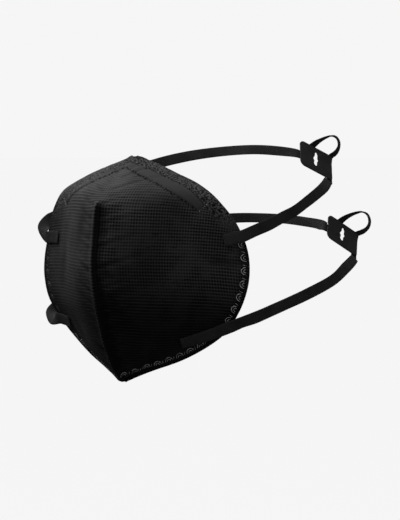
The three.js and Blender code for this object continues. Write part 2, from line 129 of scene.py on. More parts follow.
world = bpy.data.worlds.new("studio")
bpy.context.scene.world = world
world.use_nodes = True
sky = world.node_tree
sky.nodes.clear()
path = sky.nodes.new("ShaderNodeLightPath")
choose = sky.nodes.new("ShaderNodeMixShader")
world_output = sky.nodes.new("ShaderNodeOutputWorld")
for index, level in ((1, SKY_LIGHT), (2, BACKGROUND)):
    shade = sky.nodes.new("ShaderNodeBackground")
    shade.inputs["Color"].default_value = (level, level, level, 1)
    sky.links.new(shade.outputs["Background"], choose.inputs[index])
sky.links.new(path.outputs["Is Camera Ray"], choose.inputs["Fac"])
sky.links.new(choose.outputs["Shader"], world_output.inputs["Surface"])

floor_height = shell_low.z - FLOOR_DROP
floor_mesh = bpy.data.meshes.new("floor")
builder = bmesh.new()
bmesh.ops.create_circle(builder, cap_ends=True, radius=FLOOR_RADIUS, segments=FLOOR_SIDES)
bmesh.ops.translate(builder, verts=builder.verts, vec=(0, 0, floor_height))
builder.to_mesh(floor_mesh)
builder.free()
floor = add_object("floor", floor_mesh)
floor.visible_diffuse = False
floor.visible_glossy = False
floor.visible_shadow = False
print("floor at", round(floor_height, 3))

# %% [markdown]
# ## Shader maths as plain expressions
#
# Cloth, elastic and plastic are all made of node maths. Wrapping a socket in a small class lets the
# maths be written as Python: an expression such as `1 - mask` adds the Math node by itself. Any
# other node comes from one method that takes its type, its settings and the values of its sockets.

# %% A small language for materials
class Socket:
    """An output socket that Python's operators turn into Math nodes."""

    def __init__(self, recipe, socket):
        self.recipe = recipe
        self.socket = socket

    def math(self, operation, *others):
        inputs = {index + 1: other for index, other in enumerate(others)}
        return self.recipe.node("Math", {"operation": operation}, {0: self, **inputs})

    def __add__(self, other):
        return self.math("ADD", other)

    __radd__ = __add__

    def __sub__(self, other):
        return self.math("SUBTRACT", other)

    def __rsub__(self, other):
        return self.recipe.node("Math", {"operation": "SUBTRACT"}, {0: other, 1: self})

    def __mul__(self, other):
        return self.math("MULTIPLY", other)

    def __truediv__(self, other):
        return self.math("DIVIDE", other)

    def step(self, start, end):
        """0 below start and 1 above end, with a smooth rise between them."""
        settings = {"interpolation_type": "SMOOTHSTEP"}
        inputs = {"Value": self, "From Min": start, "From Max": end}
        return self.recipe.node("MapRange", settings, inputs)


class Recipe:
    """One material, built from nodes that end in a Principled shader."""

    def __init__(self, name):
        self.material = bpy.data.materials.new(name)
        self.material.use_nodes = True
        self.tree = self.material.node_tree
        self.tree.nodes.clear()
        self.shader = self.tree.nodes.new("ShaderNodeBsdfPrincipled")
        self.surface = self.tree.nodes.new("ShaderNodeOutputMaterial").inputs["Surface"]
        self.tree.links.new(self.shader.outputs["BSDF"], self.surface)

    def feed(self, socket, value):
        if isinstance(value, Socket):
            self.tree.links.new(value.socket, socket)
        else:
            socket.default_value = value

    def node(self, kind, settings=None, inputs=None, output=0):
        made = self.tree.nodes.new("ShaderNode" + kind)
        for name, value in (settings or {}).items():
            setattr(made, name, value)
        for name, value in (inputs or {}).items():
            self.feed(made.inputs[name], value)
        return Socket(self, made.outputs[output])

    def attribute(self, name):
        return self.node("Attribute", {"attribute_name": name}, output="Fac")

    def uv(self, name):
        """The two coordinates of a UV map, as separate sockets."""
        place = self.node("UVMap", {"uv_map": name})
        parts = self.node("SeparateXYZ", inputs={0: place})
        return parts, Socket(self, parts.socket.node.outputs[1])

    def noise(self, scale, detail=2.0, roughness=0.5, vector=None):
        if vector is None:
            vector = self.node("TexCoord", output="Object")
        inputs = {"Vector": vector, "Scale": scale, "Detail": detail, "Roughness": roughness}
        return self.node("TexNoise", inputs=inputs)

    def blend(self, factor, first, second):
        """A colour between two colours, each an RGB triple or a socket."""
        made = self.tree.nodes.new("ShaderNodeMix")
        made.data_type = "RGBA"
        self.feed(made.inputs[0], factor)
        for index, colour in ((6, first), (7, second)):
            self.feed(made.inputs[index], colour if isinstance(colour, Socket) else (*colour, 1))
        return Socket(self, made.outputs[2])

    def bump(self, height):
        """Turns a height in metres into a bent normal."""
        return self.node("Bump", inputs={"Strength": 1.0, "Distance": 1.0, "Height": height})

    def shade(self, sockets):
        """Feeds the sockets of the Principled shader by their names."""
        for name, value in sockets.items():
            self.feed(self.shader.inputs[name], value)
        return self.material


def tinted(colour, factor):
    return tuple(channel * factor for channel in colour)


print("recipe helpers ready")

# %% [markdown]
# ## Finishes
#
# The cloth is spun-bonded: short fibres melted together by a roller that leaves a grid of tiny
# pits. The pits could be cut into the mesh, but there are thousands of them and each is less than
# 0.2 mm deep, so a darker colour and a bump do it. They follow the cloth and not the room, so they
# are placed by a UV map in millimetres that is made with the panels. They are worn in places,
# fainter over the nose and drawn out towards the chin. The strip over the nose wire is a rougher,
# speckled cloth without pits. Painted light makes the cloth a little paler over the nose, painted
# shade makes it darker towards the chin, and a thin painted highlight runs along the fold below
# the nose.

# %% The cloth's colours and measures
# A fade says where a change begins and where it is complete, in mm along the cloth: the nose is
# below 0 and the chin above. A step says the same for a noise. Heights and depths are in metres.
CLOTH_COLOUR = (0.0365, 0.0365, 0.037)
PIT_COLOUR = (0.0015, 0.0015, 0.0015)
BAND_COLOUR = (0.024, 0.024, 0.0245)
STRIP_DARK = (0.002, 0.002, 0.002)
STRIP_LIGHT = (0.045, 0.045, 0.046)

PIT_PITCH = (1.95, 2.25)
PIT_RADIUS = 1.05
PIT_CORE = 0.5
PIT_DEPTH = 0.00018
PIT_PRESSED = 0.75
RIM_NOISE, RIM_WANDER = (900, 1.0), 0.35
WEAR_NOISE, WEAR_STEP, PIT_WEAR = (75, 1.0), (0.35, 0.6), 0.3
NOSE_WEAR, NOSE_WEAR_FADE = 0.5, (-52, -26)
DRAWN_OUT, DRAWN_OUT_FADE = 0.7, (16, 46)

CRINKLE_SCALE, CRINKLE_STEP = (0.1, 0.75), (0.62, 0.76)
CRINKLE_SHADE, CRINKLE_DEPTH = 0.45, 0.00012
FIBRE_NOISE, FIBRE_HEIGHT = (2600, 3.0, 0.7), 0.00006
BLOTCH_NOISE, BLOTCH_STEP, BLOTCH_TONE = (38, 2.0), (0.3, 0.75), 0.74
SPECKLE_NOISE, SPECKLE_STEP, SPECKLE_HEIGHT = (820, 2.0, 0.65), (0.42, 0.60), 0.00016
CLOTH_ROUGHNESS, SPECKLE_SHINE = 0.88, 0.12

# a thin painted highlight along the fold below the nose: its share, brightening, width and start
FOLD_HIGHLIGHT, FOLD_HIGHLIGHT_TONE = 0.7, 1.9
FOLD_HIGHLIGHT_WIDTH, FOLD_HIGHLIGHT_FADE = (0.3, 1.3), (-36, -30)
STRIP_STEP = (0.1, 0.9)
SEAM_SHADE, GROOVE_SHADE, GROOVE_SPECKLE = 0.7, 0.95, 0.6
# painted light makes the cloth paler over the nose; painted shade darkens it towards the chin
NOSE_LIGHT_TONE, NOSE_LIGHT_FADE = 0.95, (-50, -14)
CHIN_SHADE, CHIN_FADE = 0.72, (2, 52)
# painted shade where the relief sinks and along the fold, and a darker band near the lower edges
HOLLOW_SHADE, HEM_SHADE = 0.86, 0.75
print("pits every", *PIT_PITCH, "mm")

# %% Black embossed cloth
def pit_mask(r, from_fold, along):
    """1 in the middle of a pit and 0 between the pits, before the nose band presses them flat."""
    off_u, off_v = (((place / pitch).math("FRACT") - 0.5) * pitch
                    for place, pitch in zip((from_fold, along), PIT_PITCH))
    drawn_out = 1.0 - along.step(*DRAWN_OUT_FADE) * DRAWN_OUT
    distance = (off_u * off_u * drawn_out * drawn_out + off_v * off_v).math("SQRT")
    wander = r.noise(*RIM_NOISE) - 0.5
    return 1 - (distance + wander * RIM_WANDER).step(PIT_RADIUS * PIT_CORE, PIT_RADIUS)


def cloth_material():
    r = Recipe("black_cloth")
    from_fold, along = r.uv("cloth")
    strip, band, groove, lining = map(r.attribute, ("strip", "band", "groove", "lining"))
    plain = (1 - strip) * (1 - lining)

    clear = (1 - PIT_WEAR) + r.noise(*WEAR_NOISE).step(*WEAR_STEP) * PIT_WEAR
    clear = clear * ((1 - NOSE_WEAR) + along.step(*NOSE_WEAR_FADE) * NOSE_WEAR)
    pit = pit_mask(r, from_fold, along) * plain * (1 - band * PIT_PRESSED) * clear
    scaled = {0: from_fold * CRINKLE_SCALE[0], 1: along * CRINKLE_SCALE[1]}
    creased = r.noise(1.0, detail=1.0, vector=r.node("CombineXYZ", inputs=scaled))
    crinkle = creased.step(*CRINKLE_STEP) * plain * (1 - band)

    fibre = r.noise(*FIBRE_NOISE)
    blotch = r.noise(*BLOTCH_NOISE).step(*BLOTCH_STEP)
    speckle = r.noise(*SPECKLE_NOISE).step(*SPECKLE_STEP)
    bare = r.blend(blotch, CLOTH_COLOUR, tinted(CLOTH_COLOUR, BLOTCH_TONE))
    # painted highlight: the cloth is brighter in a thin line along the fold below the nose
    fold_highlight = (1 - from_fold.step(*FOLD_HIGHLIGHT_WIDTH)) * along.step(*FOLD_HIGHLIGHT_FADE)
    bare = r.blend(fold_highlight * FOLD_HIGHLIGHT, bare, tinted(CLOTH_COLOUR, FOLD_HIGHLIGHT_TONE))
    pitted = r.blend((pit + crinkle * CRINKLE_SHADE).math("MINIMUM", 1.0), bare, PIT_COLOUR)
    banded = r.blend(band * (1 - strip), pitted, BAND_COLOUR)
    speckled = r.blend(speckle, STRIP_DARK, STRIP_LIGHT)
    rough = r.blend(strip.step(*STRIP_STEP), banded, speckled)
    rough = r.blend(r.attribute("seam") * SEAM_SHADE, rough, PIT_COLOUR)
    rough = r.blend(groove * (GROOVE_SHADE - speckle * GROOVE_SPECKLE), rough, PIT_COLOUR)

    # painted light over the nose and painted shade towards the chin, scaled into the colour
    painted_nose_light = (1 - along.step(*NOSE_LIGHT_FADE)) * (1 - lining)
    painted_chin_shade = along.step(*CHIN_FADE) * (1 - lining)
    # painted shade where the relief sinks and along the fold's painted shadow line; darker near the
    # lower edges
    dim = (1 - r.attribute("hollow") * HOLLOW_SHADE) * (1 - r.attribute("hem") * HEM_SHADE)
    tone = (1 + painted_nose_light * NOSE_LIGHT_TONE - painted_chin_shade * CHIN_SHADE) * dim
    colour = r.node("VectorMath", {"operation": "SCALE"}, {0: rough, "Scale": tone})
    height = (fibre * FIBRE_HEIGHT - pit * PIT_DEPTH - crinkle * CRINKLE_DEPTH
              + strip * speckle * SPECKLE_HEIGHT)
    roughness = CLOTH_ROUGHNESS - speckle * strip * SPECKLE_SHINE
    return r.shade({"Base Color": colour, "Roughness": roughness, "Normal": r.bump(height),
                    "Specular IOR Level": 0.1, "Sheen Weight": 0.02, "Sheen Roughness": 0.5})


CLOTH = cloth_material()
print("material", CLOTH.name)

# %% [markdown]
# The elastic is a flat knitted band. Fine ribs run along it, and the stitches of each rib make
# small bars across. A few bright fibres stick out. The stitches are too small to model, so two
# waves make them, one across and one along a UV map in millimetres that runs with the band.

# %% Flat knitted elastic
RIB_PITCH = 0.62
STITCH_PITCH = 0.9
STITCH_BEND = 0.25
RIB_SHARE, STITCH_SHARE = 0.6, 0.4
KNIT_HEIGHT = 0.00004
ELASTIC_COLOUR = (0.0155, 0.0155, 0.016)
FIBRE_COLOUR = (0.10, 0.10, 0.10)
KNIT_TONE, WORN_TONE = 0.55, 1.25
STRAY_NOISE, STRAY_STEP = (1300, 1.0), (0.70, 0.78)
WORN_NOISE, WORN_STEP = (60, 2.0), (0.35, 0.7)
ELASTIC_ROUGHNESS, WORN_SHINE = 0.82, 0.1


def wave(place, pitch):
    """Rises and falls between 0 and 1 once in each pitch."""
    return (place * (2 * math.pi / pitch)).math("SINE") * 0.5 + 0.5


def elastic_material():
    r = Recipe("black_elastic")
    across, along = r.uv("band")
    rib = wave(across, RIB_PITCH)
    knit = rib * RIB_SHARE + wave(along + rib * STITCH_BEND, STITCH_PITCH) * STITCH_SHARE
    stray = r.noise(*STRAY_NOISE).step(*STRAY_STEP)
    worn = r.noise(*WORN_NOISE)
    dark = r.blend(knit, tinted(ELASTIC_COLOUR, KNIT_TONE), ELASTIC_COLOUR)
    soft = r.blend(worn.step(*WORN_STEP), dark, tinted(ELASTIC_COLOUR, WORN_TONE))
    colour = r.blend(stray, soft, FIBRE_COLOUR)
    height = knit * KNIT_HEIGHT + stray * KNIT_HEIGHT
    roughness = ELASTIC_ROUGHNESS - worn * WORN_SHINE
    return r.shade({"Base Color": colour, "Roughness": roughness, "Normal": r.bump(height),
                    "Specular IOR Level": 0.15, "Sheen Weight": 0.02, "Sheen Roughness": 0.4})


ELASTIC = elastic_material()
print("material", ELASTIC.name)

# %% [markdown]
# The adjusters are moulded in dark plastic with a satin grain from the mould. The weld marks are
# cloth that a hot wheel has melted to a smooth grey film, so they catch more light than the cloth.
# Their light grey is partly that film and partly a painted glint. A darker copy of that finish,
# painted as if in shade, serves the marks that show only faintly.

# %% Moulded plastic, melted weld marks and the floor
PLASTIC_COLOUR = (0.017, 0.017, 0.0175)
PLASTIC_TONE = 1.5
GRAIN_NOISE, GRAIN_HEIGHT = (2200, 2.0), 0.000002
FLOW_NOISE, FLOW_STEP, FLOW_HEIGHT = (90, 2.0), (0.3, 0.7), 0.00001
PLASTIC_ROUGHNESS, GRAIN_ROUGHNESS = 0.48, 0.06

# the marks' light grey is partly the melted film and partly a painted glint; the darker copy is
# painted as if in shade
WELD_FILM_AND_GLINT_COLOUR = (0.34, 0.34, 0.35)
SHADED_WELD_COLOUR = (0.058, 0.058, 0.06)
WELD_NOISE, WELD_STEP, WELD_TONE = (700, 1.0), (0.38, 0.62), 0.35
WELD_ROUGHNESS, WELD_PATCHES = 0.34, 0.2

FLOOR_COLOUR = (0.92, 0.92, 0.92)
FLOOR_NOISE, FLOOR_TONE = (3, 1.0), 0.995
FLOOR_GLOW, FLOOR_GLOW_SHARE = 1.02, 0.97


def plastic_material():
    r = Recipe("satin_plastic")
    grain = r.noise(*GRAIN_NOISE)
    flow = r.noise(*FLOW_NOISE)
    colour = r.blend(flow.step(*FLOW_STEP), PLASTIC_COLOUR, tinted(PLASTIC_COLOUR, PLASTIC_TONE))
    height = grain * GRAIN_HEIGHT + flow * FLOW_HEIGHT
    roughness = PLASTIC_ROUGHNESS + grain * GRAIN_ROUGHNESS
    return r.shade({"Base Color": colour, "Roughness": roughness, "Normal": r.bump(height),
                    "Specular IOR Level": 0.3})


def weld_material(name, full_colour):
    r = Recipe(name)
    patch = r.noise(*WELD_NOISE)
    colour = r.blend(patch.step(*WELD_STEP), tinted(full_colour, WELD_TONE), full_colour)
    return r.shade({"Base Color": colour, "Roughness": WELD_ROUGHNESS + patch * WELD_PATCHES})


def floor_material():
    r = Recipe("pale_floor")
    colour = r.blend(r.noise(*FLOOR_NOISE), FLOOR_COLOUR, tinted(FLOOR_COLOUR, FLOOR_TONE))
    glow = r.node("Emission", inputs={"Color": (*FLOOR_COLOUR, 1), "Strength": FLOOR_GLOW})
    matte = Socket(r, r.shader.outputs["BSDF"])
    r.feed(r.surface, r.node("MixShader", inputs={"Fac": FLOOR_GLOW_SHARE, 1: matte, 2: glow}))
    return r.shade({"Base Color": colour, "Roughness": 1.0})


PLASTIC = plastic_material()
WELD_AND_GLINT = weld_material("melted_cloth_and_glint", WELD_FILM_AND_GLINT_COLOUR)
SHADED_WELD = weld_material("melted_cloth_in_painted_shade", SHADED_WELD_COLOUR)
floor_mesh.materials.append(floor_material())
print("materials", PLASTIC.name, WELD_AND_GLINT.name, SHADED_WELD.name)

# %% [markdown]
# ## The shell
#
# The body is a formed sheet that keeps its own shape. A cloth simulation could drape it, but the
# result wouldn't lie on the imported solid, so the form is drawn instead. Each panel is described by
# sixteen sections, from the top of the nose to the chin. A section starts on the centre fold, ends
# on the edge of the face opening, and bends between them as a cubic curve. A smooth look-up between
# the sections gives as many rows as wanted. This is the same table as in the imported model, in
# millimetres; only the grid is finer here.

# %% The tables of the shell
# fold y, fold z, edge x, edge y, edge z, angle at the fold, angle at the edge, lift, crease height
SECTIONS = [
    (0, 79, 2, 1.6, 78.8, 90, 70, 0, 0),
    (-5, 74.5, 14, 6.8, 75, 90, 65, 1, 0),
    (-12, 69.2, 32, 7.6, 67.8, 90, 60, 2.5, 0),
    (-24, 62, 48, 8, 61.4, 88, 60, 3.5, 0.5),
    (-38, 54, 63, 6.6, 52.6, 84, 60, 4, 1.5),
    (-48, 48, 73.5, 9.9, 39.8, 84, 72, 4, 3),
    (-51, 36, 79.5, 13.3, 28, 86, 78, 3, 4),
    (-52.7, 23, 83.7, 15.6, 15, 86, 78, 2, 4),
    (-54.4, 8, 85.6, 15, 2, 86, 78, 1, 4),
    (-52.6, -7, 84.7, 13.5, -11.3, 86, 78, 0, 4),
    (-48.6, -22, 79.6, 12, -26.6, 86, 74, -1, 4),
    (-44.6, -33, 69.2, 12.7, -41.6, 82, 68, -2, 4),
    (-39.5, -46, 56, 9.6, -52.6, 80, 60, -2.5, 4),
    (-32.2, -59, 39, 2.9, -62.7, 80, 62, -2, 3.5),
    (-24.3, -70.5, 20, -6.2, -70.5, 80, 66, -1, 2.5),
    (-14.8, -78.7, 2, -13.9, -78.2, 80, 75, 0, 0),
]

# outer and inner side of the nose band, as distances from the edge, one row for each section
NOSE_BAND_ROWS = {
    1: [(10, 17), (17.5, 26), (23, 33.5), (22, 36.5), (16, 33), (15.5, 25.5), (15, 24)],
    -1: [(12, 17), (20, 25), (31, 36.5), (40, 45.5), (38.5, 44), (20, 25), (15, 20)],
}

# from section, share from the fold, to section, share, half width, depth, side
DENTS = [
    (4.9, 0.04, 7.2, 0.05, 3.5, 1.4, 1),
    (8.2, 0.04, 8.6, 0.1, 3, 0.8, 1),
    (9.6, 0.06, 10.4, 0.14, 4, 1.2, 1),
    (7.75, 0.76, 7.75, 0.92, 2.5, 0.8, 1),
    (12.3, 0.45, 14.2, 0.75, 3, 1.2, 1),
    (11.2, 0.78, 14, 0.9, 3, 1, -1),
]

WALL = 1.6
EDGE_WALL = 1.0
EDGE_TAPER = 10
REACH_FOLD = 0.28
REACH_EDGE = 0.3
BAND_RISE = 0.7
BAND_BLEND = 2
BAND_END = 4.65
BAND_SLANT = 0.45
BAND_FADE = 0.12
CREASE_SPREAD = 4
CREASE_LINING = 0.55
SHORT_ROW = 34
SOFT_PROFILE = [(-2, 0.125), (-1, 0.25), (0, 0.25), (1, 0.25), (2, 0.125)]
LAST = len(SECTIONS) - 1
LEFT, RIGHT = 1, -1
print(len(SECTIONS), "sections,", len(DENTS), "dents")

# %% Smooth look-up and cross curves
SLOPE_STEP = 0.05
CROSS_STEPS = 24


def unit(directions):
    """The same directions with length 1, for one vector or for many."""
    return directions / np.linalg.norm(directions, axis=-1, keepdims=True)


def vectors(x, y, z):
    return np.stack(np.broadcast_arrays(x, y, z), 1)


def lengths_along(points, axis=0):
    """The length from the first point to every point, along one axis of a grid."""
    lengths = np.cumsum(np.linalg.norm(np.diff(points, axis=axis), axis=-1), axis)
    return np.concatenate([np.zeros_like(np.take(lengths, [0], axis)), lengths], axis)


def hermite(start, end, slope_start, slope_end, t):
    """The cubic between two rows that has these slopes, with t from 0 to 1."""
    return (start * (2 * t**3 - 3 * t**2 + 1) + slope_start * (t**3 - 2 * t**2 + t)
            + end * (3 * t**2 - 2 * t**3) + slope_end * (t**3 - t**2))


def table_at(rows, position):
    """Catmull-Rom through evenly numbered rows, at many positions at once."""
    rows = np.asarray(rows, float)
    last = len(rows) - 1
    position = np.atleast_1d(np.asarray(position, float))
    i = np.clip(np.floor(position).astype(int), 0, last - 1)
    t = (position - i)[:, None]
    start, end = rows[i], rows[i + 1]
    slope_start = (end - rows[np.maximum(i - 1, 0)]) / 2
    slope_end = (rows[np.minimum(i + 2, last)] - start) / 2
    return hermite(start, end, slope_start, slope_end, t)


def smooth(start, end, x):
    t = np.clip((x - start) / (end - start), 0, 1)
    return t * t * (3 - 2 * t)


def between(rise, fall, x):
    """0, then 1 from the rise to the fall, then 0 again."""
    return smooth(*rise, x) * (1 - smooth(*fall, x))


def cross_controls(s):
    """Control points of the sections' curves, the fold's outward direction and the crease."""
    (fold_y, fold_z, edge_x, edge_y, edge_z,
     fold_angle, edge_angle, lift, crease) = table_at(SECTIONS, s).T
    ahead = table_at(SECTIONS, np.minimum(LAST, s + SLOPE_STEP))
    behind = table_at(SECTIONS, np.maximum(0, s - SLOPE_STEP))
    outward = unit(vectors(0, ahead[:, 1] - behind[:, 1], behind[:, 0] - ahead[:, 0]))
    fold = vectors(0, fold_y, fold_z) - outward * crease[:, None]
    edge = vectors(edge_x, edge_y, edge_z)
    chord = np.linalg.norm(edge - fold, axis=1)

    def aim(degrees, reach):
        angle = np.radians(degrees)
        return vectors(np.sin(angle), np.cos(angle), 0) * (reach * chord)[:, None]

    # near both ends the softening looks less far, so that the nose and the chin keep their place
    reach = np.minimum(1, np.minimum(s, LAST - s) / 2)
    around = sum(share * table_at(SECTIONS, s + step * reach)[:, :2]
                 for step, share in SOFT_PROFILE)
    softening = vectors(0, around[:, 0] - fold_y, around[:, 1] - fold_z)
    # the middle of a cubic rises by three quarters of what its two inner points rise
    raised = vectors(0, 0, lift * 4 / 3)
    rise = vectors(0, 0, (edge[:, 2] - fold[:, 2]) / 3)
    near_fold = fold + aim(fold_angle, REACH_FOLD) + raised + rise + softening
    near_edge = edge - aim(edge_angle, REACH_EDGE) + raised - rise
    return np.stack([fold, near_fold, near_edge, edge], 1), outward, crease


def bezier(controls, t):
    a, b, c, d = (controls[:, k, None, :] for k in range(4))
    t = t[..., None]
    return a * (1 - t)**3 + 3 * b * t * (1 - t)**2 + 3 * c * t**2 * (1 - t) + d * t**3


def bare_panel(s, share):
    """Points of the left panel without relief. share runs from 0 at the edge to 1 at the fold."""
    controls, outward, crease = cross_controls(s)
    steps = np.broadcast_to(np.linspace(0, 1, CROSS_STEPS + 1), (len(s), CROSS_STEPS + 1))
    points = bezier(controls, steps)
    lengths = lengths_along(points, axis=1)
    total = lengths[:, -1]
    t = np.stack([np.interp((1 - share[k]) * total[k], lengths[k], steps[k])
                  for k in range(len(s))])
    return bezier(controls, t), total, outward, crease


middle_length = bare_panel(np.array([8.0]), np.array([[0.0, 1.0]]))[1][0]
print("a middle section is", round(middle_length), "mm from fold to edge")

# %% [markdown]
# Cloth that has been folded flat never opens to a perfect form. Beside the table's dents, the cloth
# puckers along the fold, and the wide panels swell and sink a little. On the left panel a trough
# runs beside the fold, with a line of painted shadow along it. Where these forms sink, the cloth is
# darkened with painted shade. These forms fade out before the edges, where the straps lie on the
# cloth.

# %% Measures of the relief
# Lengths are in mm, and places are in sections or in mm along the fold. A pair says where a change
# begins and where it is complete. The trough's foot is counted the other way, from the chin.
# Puckers hold pitch, size and phase. Swells hold turn for each mm from the fold, turn for each mm
# along it, phase and size. The waves of the painted fold shadow hold size, pitch and phase.
SECTION_PITCH = 11
DENT_END = 0.15
PUCKERS = [(7.3, 0.46, 0.4), (4.9, 0.34, 2.1), (11.7, 0.40, 4.4), (3.1, 0.16, 1.2)]
PUCKER_REACH, PUCKER_SLANT, PUCKER_START = 13, 0.35, (0.5, 4)
TROUGH_AT, TROUGH_WIDTH, TROUGH_DEPTH = 3.6, 2.6, 1.3
TROUGH_TOP, TROUGH_FOOT = (-36, -28), (-75, -45)
SWELLS = [(0.071, 0.043, 0.5, 0.42), (-0.052, 0.088, 2.7, 0.34), (0.118, -0.061, 4.1, 0.2)]
SWELL_FROM_EDGE, SWELL_FROM_FOLD, SWELL_SHIFT = (26, 40), (4, 20), 1.7
# where the painted shadow line beside the fold lies, and how it widens and frays lower down
FOLD_SHADOW_WIDTH, FOLD_SHADOW_SPREAD, FOLD_SHADOW_WIDENS = 4.6, 5.5, (8, 40)
FOLD_SHADOW_START, FOLD_SHADOW_RIM, FOLD_SHADOW_TOP = (0.2, 0.9), (-1.8, 0.8), (-36, -31)
FOLD_SHADOW_WAVES = [(0.3, 8.7, 1), (0.2, 4.1, 0)]
STRIP_BLEND, STRIP_END = 0.7, (4.9, 6.2)
GROOVE_OUTER, GROOVE_INNER = (-1.2, -0.5), (1.0, 2.0)
SEAM_WIDTH, SEAM_END = 0.8, (4.6, 5.4)
HEM_WIDTH, HEM_START = (3, 9), (6.0, 7.0)
print("puckers every", [pitch for pitch, _, _ in PUCKERS], "mm")

# %% Relief and masks of the cloth
def dents(s, u, length, side):
    height = np.zeros_like(u)
    for from_s, from_u, to_s, to_u, width, depth, dent_side in DENTS:
        if dent_side == side:
            a = (s - from_s) * SECTION_PITCH, (u - from_u) * length
            b = (to_s - from_s) * SECTION_PITCH, (to_u - from_u) * length
            t = np.clip((a[0] * b[0] + a[1] * b[1]) / (b[0]**2 + b[1]**2), 0, 1)
            away = np.hypot(a[0] - t * b[0], a[1] - t * b[1]) / width
            deepness = np.sin(np.pi * (DENT_END + (1 - 2 * DENT_END) * t))
            height -= depth * np.exp(-away**2) * deepness
    return height


def soft_forms(from_fold, along, from_edge, side):
    """Puckers along the fold and swells on the panels, in mm."""
    height = np.zeros_like(from_fold)
    slanted = along + PUCKER_SLANT * from_fold
    for pitch, size, phase in PUCKERS:
        pucker = size * np.sin(slanted * 2 * np.pi / pitch + phase + side)
        height += pucker * np.exp(-from_fold / PUCKER_REACH)
    height *= smooth(*PUCKER_START, from_fold)
    if side == LEFT:
        below_nose = smooth(*TROUGH_TOP, along) * smooth(*TROUGH_FOOT, -along)
        trough = TROUGH_DEPTH * np.exp(-((from_fold - TROUGH_AT) / TROUGH_WIDTH)**2)
        height -= trough * below_nose
    inland = smooth(*SWELL_FROM_EDGE, from_edge) * smooth(*SWELL_FROM_FOLD, from_fold)
    for per_fold, per_along, phase, size in SWELLS:
        angle = from_fold * per_fold + along * per_along + phase + side * SWELL_SHIFT
        height += inland * size * np.sin(angle)
    return height


def painted_fold_shadow(from_fold, along):
    """The line of painted shadow beside the fold, wider and ragged lower down."""
    ragged = sum((size * np.sin(along * 2 * np.pi / pitch + phase)
                  for size, pitch, phase in FOLD_SHADOW_WAVES), 0.5)
    reach = FOLD_SHADOW_WIDTH + FOLD_SHADOW_SPREAD * smooth(*FOLD_SHADOW_WIDENS, along) * ragged
    rim = [reach + step for step in FOLD_SHADOW_RIM]
    return between(FOLD_SHADOW_START, rim, from_fold) * smooth(*FOLD_SHADOW_TOP, along)


def panel_masks(s, from_edge, side):
    """How much each point belongs to the nose band, the rough strip, their lines and the hem."""
    rows = NOSE_BAND_ROWS[side]
    outer, inner = (c[:, None] for c in table_at(rows, np.minimum(s, len(rows) - 1)).T)
    s = s[:, None]
    across = between((outer, outer + BAND_BLEND), (inner - BAND_BLEND, inner), from_edge)
    end = BAND_END + BAND_SLANT * np.clip((from_edge - outer) / (inner - outer), 0, 1)
    ends = 1 - smooth(end, end + BAND_FADE, s)
    strip = 1 - smooth(outer - STRIP_BLEND, outer + STRIP_BLEND, from_edge)
    strip = strip * (1 - smooth(*STRIP_END, s))
    sides = ([inner + step for step in side] for side in (GROOVE_OUTER, GROOVE_INNER))
    groove = between(*sides, from_edge) * ends
    seam = np.exp(-((from_edge - outer) / SEAM_WIDTH)**2) * (1 - smooth(*SEAM_END, s))
    hem = (1 - smooth(*HEM_WIDTH, from_edge)) * smooth(*HEM_START, s)
    return {"band": across * ends, "strip": np.maximum(strip, groove), "groove": groove,
            "seam": seam, "hem": hem}


print(len(PUCKERS), "rows of puckers and", len(SWELLS), "swells")

# %% [markdown]
# The whole shell is one closed sheet: an outside, an inside and the thin edge of the face opening.
# The columns are set by their distance from the edge, closer together near the edge and the fold,
# where the forms are small. Above the nose the fold is rounded, by averaging the outside there many
# times. The sheet carries its UV map in millimetres, and masks for the parts of the cloth.

# %% Build the shell as a grid
ROWS = 151
COLUMNS = 128
COLUMN_PULL = 0.075
SECTION_STEP = 0.08
GROOVE_DEPTH = 0.25
# how far the relief must sink for full painted shade, and the most painted shade there is
HOLLOW_DEPTH, HOLLOW_MOST = 1.3, 0.6
LEAST_WALL = 1.2
NOSE_PASSES, NOSE_ROUND = 160, 9
NOSE_START, NOSE_END = (0.8, 1.8), (4.2, 4.9)


def shell_side(s, side):
    """Points outside and inside one panel, from the edge to the fold, with masks and UV lengths."""
    spacing = np.linspace(0, 1, COLUMNS)
    share = spacing - COLUMN_PULL * np.sin(2 * np.pi * spacing)
    share = np.broadcast_to(share, (len(s), COLUMNS))
    points, length, outward, crease = bare_panel(s, share)
    up = bare_panel(np.maximum(0, s - SECTION_STEP), share)[0]
    down = bare_panel(np.minimum(LAST, s + SECTION_STEP), share)[0]
    to_edge = -np.gradient(points, axis=1)
    normal = unit(np.cross(down - up, to_edge))
    length = length[:, None]
    from_edge = share * length
    from_fold = length - from_edge
    along = lengths_along(points)
    along = along - along[len(s) // 2]
    masks = panel_masks(s, from_edge, side)
    full = (WALL - EDGE_WALL) * smooth(0, EDGE_TAPER, from_edge)
    height = full + BAND_RISE * masks["band"] - GROOVE_DEPTH * masks["groove"]
    height = np.minimum(1, length / SHORT_ROW) * height
    forms = dents(s[:, None], 1 - share, length, side)
    forms = forms + soft_forms(from_fold, along, from_edge, side)
    # painted shade: darker where the relief sinks, and along a painted shadow line beside the left
    # fold
    masks["hollow"] = np.clip(-forms / HOLLOW_DEPTH, 0, HOLLOW_MOST)
    if side == LEFT:
        masks["hollow"] = np.maximum(masks["hollow"], painted_fold_shadow(from_fold, along))
    height += forms
    stand = (crease[:, None] * np.exp(-from_fold / CREASE_SPREAD))[..., None] * outward[:, None, :]
    outside = points + stand + normal * height[..., None]
    depth = np.minimum(-EDGE_WALL, height - LEAST_WALL)
    inside = points + stand * CREASE_LINING + normal * depth[..., None]
    flip = np.array([side, 1, 1])
    return {"outside": outside * flip, "inside": inside * flip, "u": from_fold, "v": along, **masks}


